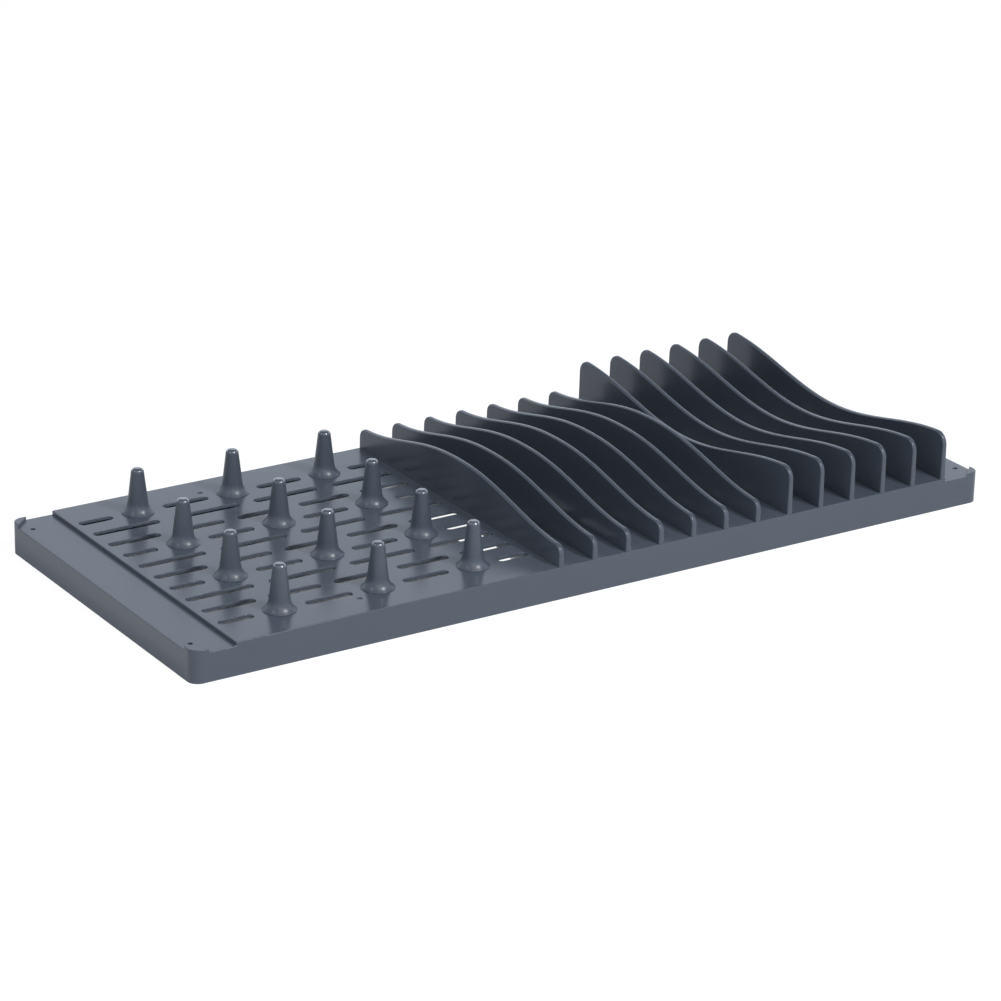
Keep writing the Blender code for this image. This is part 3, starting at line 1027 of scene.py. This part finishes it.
RIGHT_SOFTBOX = SoftLamp(name="right_softbox", direction=(0.231, -0.628, 0.743),
                         distance=2.3, size=0.4, watts=25.0)
LEFT_SOFTBOX = SoftLamp(name="left_softbox", direction=(-0.667, -0.047, 0.743),
                        distance=2.3, size=0.4, watts=4.0)
FRONT_FILL = SoftLamp(name="front_fill", direction=(-0.21, -0.68, 0.70),
                      distance=2.4, size=1.6, watts=14.0)


@dataclass
class Studio:
    """Camera, soft lamps, a white room and a pale floor."""

    camera_place: tuple[float, float, float] = (-1.241326, -1.889313, 0.907254)
    azimuth: float = math.radians(33.2102)
    elevation: float = math.radians(21.4938)
    roll: float = math.radians(1.2095)
    lens: float = 135.6318
    sensor: float = 36.0
    clip_end: float = 50.0
    floor_size: float = 14.0
    floor_glow: float = 0.93
    floor_tint: float = 0.17
    floor_white: float = 0.85
    floor_gloss_share: float = 0.38
    room_level: float = 0.21
    room_colour: tuple[float, float, float] = (0.94, 0.97, 1.0)
    wall_colour: tuple[float, float, float] = (0.98, 1.06, 1.20)
    wall_top: float = math.radians(28.0)
    ceiling_edge: float = math.radians(46.0)
    ceiling_share: float = 0.15
    shaded_length: float = 0.584
    shaded_depth: float = 0.236
    # Painted light patch: floor under the first fin gap that glows white, painted where light
    # falls through the gap.
    painted_light_x: tuple[float, float] = (-0.0405, -0.0215)
    painted_light_y: tuple[float, float] = (-0.055, 0.048)
    painted_light_slant_share: float = 0.136
    lamps: tuple[SoftLamp, ...] = (RIGHT_SOFTBOX, LEFT_SOFTBOX, FRONT_FILL)

    def camera(self) -> None:
        """Stand the camera where the picture was taken from."""
        data = bpy.data.cameras.new("picture_camera")
        data.lens = self.lens
        data.sensor_width = self.sensor
        data.clip_end = self.clip_end
        camera = bpy.data.objects.new("picture_camera", data)
        turn = Euler((QUARTER_TURN - self.elevation, 0.0, -self.azimuth)).to_matrix().to_4x4()
        camera.matrix_world = (Matrix.Translation(self.camera_place) @ turn
                               @ Matrix.Rotation(self.roll, 4, "Z"))
        bpy.context.scene.collection.objects.link(camera)
        bpy.context.scene.camera = camera
        log.info("camera: %.1f mm lens", self.lens)

    def seen_directly(self, bench: NodeBench, gloss_share: float = 1.0) -> Signal:
        """Tell rays that show the background from rays that only carry its light.

        Args:
            bench: where the nodes go.
            gloss_share: how much of the white a gloss shows.

        Returns:
            One for camera rays, the share for glossy and transmission rays, zero for the rest.
        """
        paths = ("Is Camera Ray", "Is Glossy Ray", "Is Transmission Ray")
        camera, glossy, clear = (bench.add("ShaderNodeLightPath", {}, {}, path) for path in paths)
        reflected = glossy.joined("MAXIMUM", glossy, clear)
        return camera.joined("MAXIMUM", camera, reflected * gloss_share)

    def room(self) -> None:
        """Fill the room with plain light and show it white, with a darker ceiling in a gloss."""
        world = bpy.data.worlds.new("white_room")
        world.use_nodes = True
        bpy.context.scene.world = world
        bench = NodeBench(world.node_tree)
        seen = self.seen_directly(bench)
        direction = bench.add("ShaderNodeTexCoord", {}, {}, "Generated")
        rise = bench.add("ShaderNodeSeparateXYZ", {}, {0: direction}, "Z")
        shown = bench.add("ShaderNodeMapRange", {"interpolation_type": "SMOOTHSTEP"}, {
            "Value": rise,
            "From Min": math.sin(self.wall_top),
            "From Max": math.sin(self.ceiling_edge),
            "To Min": 1.0,
            "To Max": self.ceiling_share,
        })
        light = bench.add("ShaderNodeBackground", {}, {
            "Color": self.room_colour + (1.0,),
            "Strength": self.room_level,
        })
        white = bench.add("ShaderNodeBackground", {}, {
            "Color": self.wall_colour + (1.0,),
            "Strength": shown,
        })
        both = bench.add("ShaderNodeMixShader", {}, {0: seen, 1: light, 2: white})
        bench.finish("ShaderNodeOutputWorld", both)

    def matt(self, bench: NodeBench, level: float) -> Signal:
        """A matt grey of one lightness."""
        return bench.add("ShaderNodeBsdfDiffuse", {}, {"Color": (level, level, level, 1.0)})

    def open_floor(self) -> bpy.types.Material:
        """Finish of the floor round the rack and of the painted light patch under it: matt, and
        near white where it is seen.

        Returns:
            The finished material.
        """
        material = bpy.data.materials.new("pale_floor")
        material.use_nodes = True
        bench = NodeBench(material.node_tree)
        seen = self.seen_directly(bench, self.floor_gloss_share)
        reflected_glow = bench.add("ShaderNodeEmission", {}, {
            "Color": self.wall_colour + (1.0,),
            "Strength": self.floor_glow,
        })
        neutral_glow = bench.add("ShaderNodeEmission", {}, {"Strength": self.floor_glow})
        glow = bench.add("ShaderNodeMixShader", {}, {
            0: bench.add("ShaderNodeLightPath", {}, {}, "Is Camera Ray"),
            1: reflected_glow,
            2: neutral_glow,
        })
        shown = bench.add("ShaderNodeAddShader", {}, {
            0: self.matt(bench, self.floor_tint),
            1: glow,
        })
        both = bench.add("ShaderNodeMixShader", {}, {
            0: seen,
            1: self.matt(bench, self.floor_white),
            2: shown,
        })
        bench.finish("ShaderNodeOutputMaterial", both)
        return material

    def covered_floor(self) -> bpy.types.Material:
        """Finish of the floor under the rack: plain matt.

        Returns:
            The finished material.
        """
        material = bpy.data.materials.new("shaded_floor")
        material.use_nodes = True
        bench = NodeBench(material.node_tree)
        bench.finish("ShaderNodeOutputMaterial", self.matt(bench, self.floor_white))
        return material

    def floor_lines(self) -> list[tuple[Vector, Vector]]:
        """Lines that part the open floor, the covered floor and the painted light patch on it.

        Returns:
            A point and the normal of each line.
        """
        left, right = self.painted_light_x
        front, rear = self.painted_light_y
        lines = [(ALONG * left, ALONG), (BACK * front, BACK), (BACK * rear, BACK),
                 (ALONG * right, ALONG - BACK * self.painted_light_slant_share)]
        for side in (-1, 1):
            lines.append((ALONG * side * self.shaded_length / 2, ALONG))
            lines.append((BACK * side * self.shaded_depth / 2, BACK))
        return lines

    def is_covered(self, place: Vector) -> bool:
        """Tell whether a spot of the floor is in the rack's shade.

        Args:
            place: the spot.

        Returns:
            True under the rack, but not on the patch by the first fin, where a pool of light is
            painted as a white glow.
        """
        left, right = self.painted_light_x
        front, rear = self.painted_light_y
        covered = (abs(place.x) < self.shaded_length / 2
                   and abs(place.y) < self.shaded_depth / 2)
        # The painted light patch: it glows white instead of being lit by the lamps.
        lit = (front < place.y < rear
               and left < place.x < right + self.painted_light_slant_share * place.y)
        return covered and not lit

    def floor(self) -> None:
        """Lay the pale floor, which shows near white and keeps the rack's shadow, with a painted
        pool of light glowing under the rack by the first fin.
        """
        shape = bmesh.new()
        bmesh.ops.create_grid(shape, x_segments=1, y_segments=1, size=self.floor_size / 2)
        for place, across in self.floor_lines():
            everything = shape.verts[:] + shape.edges[:] + shape.faces[:]
            bmesh.ops.bisect_plane(shape, geom=everything, plane_co=place, plane_no=across)
        for face in shape.faces:
            # Faces of the painted light patch get the glowing open floor finish.
            face.material_index = 1 if self.is_covered(face.calc_center_median()) else 0
        mesh = bpy.data.meshes.new("studio_floor")
        shape.to_mesh(mesh)
        shape.free()
        mesh.materials.append(self.open_floor())
        mesh.materials.append(self.covered_floor())
        floor = bpy.data.objects.new("studio_floor", mesh)
        bpy.context.scene.collection.objects.link(floor)

    def build(self) -> None:
        """Set up the whole studio."""
        bpy.context.scene.view_settings.view_transform = "Standard"
        self.camera()
        self.room()
        self.floor()
        for lamp in self.lamps:
            lamp.hang()


def middle(node: str) -> Vector:
    """The middle of a CAD node's box."""
    low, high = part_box(node)
    return (low + high) / 2


def main() -> None:
    """Build the dressed rack and its studio."""
    logging.basicConfig(level=logging.INFO, format="%(message)s")
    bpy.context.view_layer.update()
    nodes = sorted(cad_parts)
    peg_nodes = [name for name in nodes if name.startswith("cup_peg")]
    fin_nodes = [name for name in nodes if name.startswith("plate_fin")]
    peg_places = [middle(name) for name in peg_nodes]
    fin_places = [middle(name) for name in fin_nodes]

    low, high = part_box("tray_base")
    tray = DrainTray(
        length=high.x - low.x,
        depth=high.y - low.y,
        peg_x=sorted({round(place.x, PLACE_DIGITS) for place in peg_places}),
        peg_y=sorted({round(place.y, PLACE_DIGITS) for place in peg_places}),
        fin_x=[place.x for place in fin_places],
    )
    tray_finish = MouldedPlastic("slate_tray", TRAY_SLATE).dress()
    fin_finish = MouldedPlastic("slate_fins", FIN_SLATE).dress()
    peg_finish = RubbedPlastic("slate_pegs", PEG_SLATE).dress()
    tray.build().land(["tray_base"], "tray_plastic", tray_finish)

    fins = PlateFins(
        depth=tray.depth,
        foot=tray.deck_height,
        thickness=tray.fin_thickness,
        tenon_length=tray.tenon_length,
        tenon_thickness=tray.tenon_thickness,
        tenon_y=tray.tenon_y,
    )
    for index, (node, place) in enumerate(zip(fin_nodes, fin_places)):
        shape = FinShape.HUMP if index < fins.hump_count else FinShape.DIP
        piece = fins.build(node.replace("plate", "wavy"), shape, place.x)
        piece.land([node], "fin_plastic", fin_finish)

    pegs = CupPegs(foot=tray.deck_height, spigot_radius=tray.spigot_radius)
    for node, place in zip(peg_nodes, peg_places):
        piece = pegs.build(node.replace("cup", "flared"), place.x, place.y)
        piece.land([node], "peg_plastic", peg_finish)

    Studio().build()


if __name__ == "__main__":
    main()
